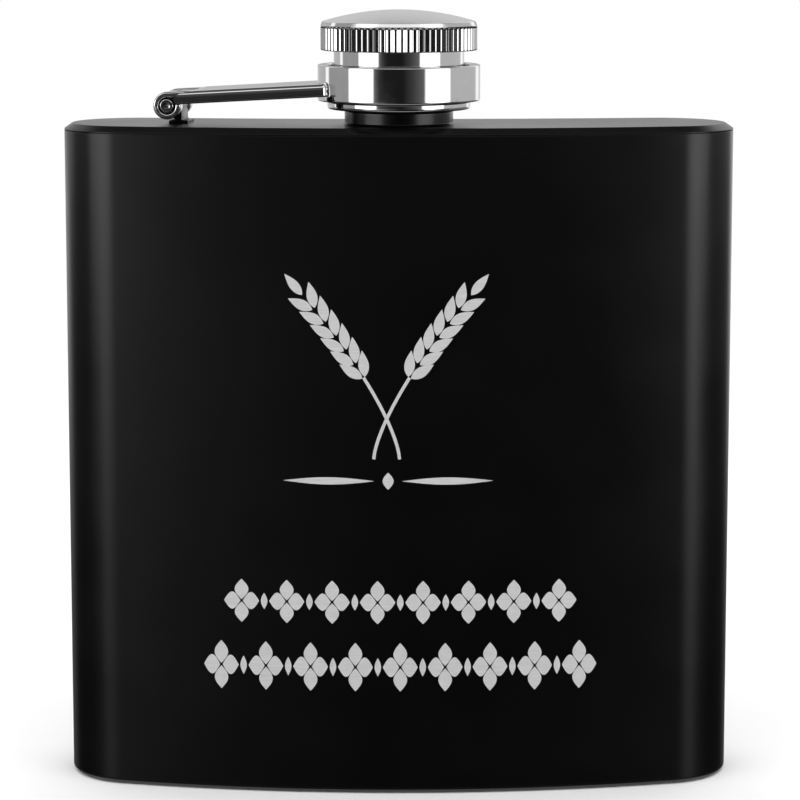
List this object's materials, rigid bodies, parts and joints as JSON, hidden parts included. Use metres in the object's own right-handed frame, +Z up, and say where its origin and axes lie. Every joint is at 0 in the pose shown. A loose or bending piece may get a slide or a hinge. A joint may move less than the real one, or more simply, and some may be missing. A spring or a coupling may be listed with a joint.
{
  "type": "hip flask",
  "caption": "Curved steel pocket flask for drinks, with a knurled screw cap held captive in a ring on a hinged arm.",
  "frame": {"origin": "under the middle of the whole object's box, on the plane that the flask stands on", "axes": "+Z up from the base towards the cap; -Y is the bowed front that shows the emblem; +Y is the hollow back that lies against the body; -X is the hinge's side"},
  "size_m": [0.095, 0.0252, 0.11],
  "materials": {
    "black_coat": "matt black powder coat on stainless steel",
    "polished_steel": "mirror-polished stainless steel",
    "brushed_steel": "satin dome over polished knurling",
    "white_plastic": "moulded, satin",
    "silicone": "matt, translucent white"
  },
  "bodies": {
    "flask": {"body_sleeve": "black_coat", "top_plate": "black_coat", "base_plate": "black_coat", "neck": "black_coat", "hinge_bracket": "black_coat", "hinge_pin": "polished_steel"},
    "lid_arm": {"lid_arm": "polished_steel", "retaining_ring": "polished_steel"},
    "cap": {"cap_shell": "brushed_steel", "cap_sleeve": "polished_steel", "thread_liner": "white_plastic", "cap_gasket": "silicone"}
  },
  "joints": [
    {"name": "lid_swing", "type": "hinge", "parent": "flask", "child": "lid_arm", "pos_m": [-0.03202, 0.00221, 0.0966], "axis": [-0.1045, -0.9945, 0], "range_deg": [0, 168]},
    {"name": "cap_unscrew", "type": "hinge", "parent": "lid_arm", "child": "cap", "pos_m": [0, -0.00116, 0.1], "axis": [0, 0, 1], "range_deg": [0, 900]}
  ]
}
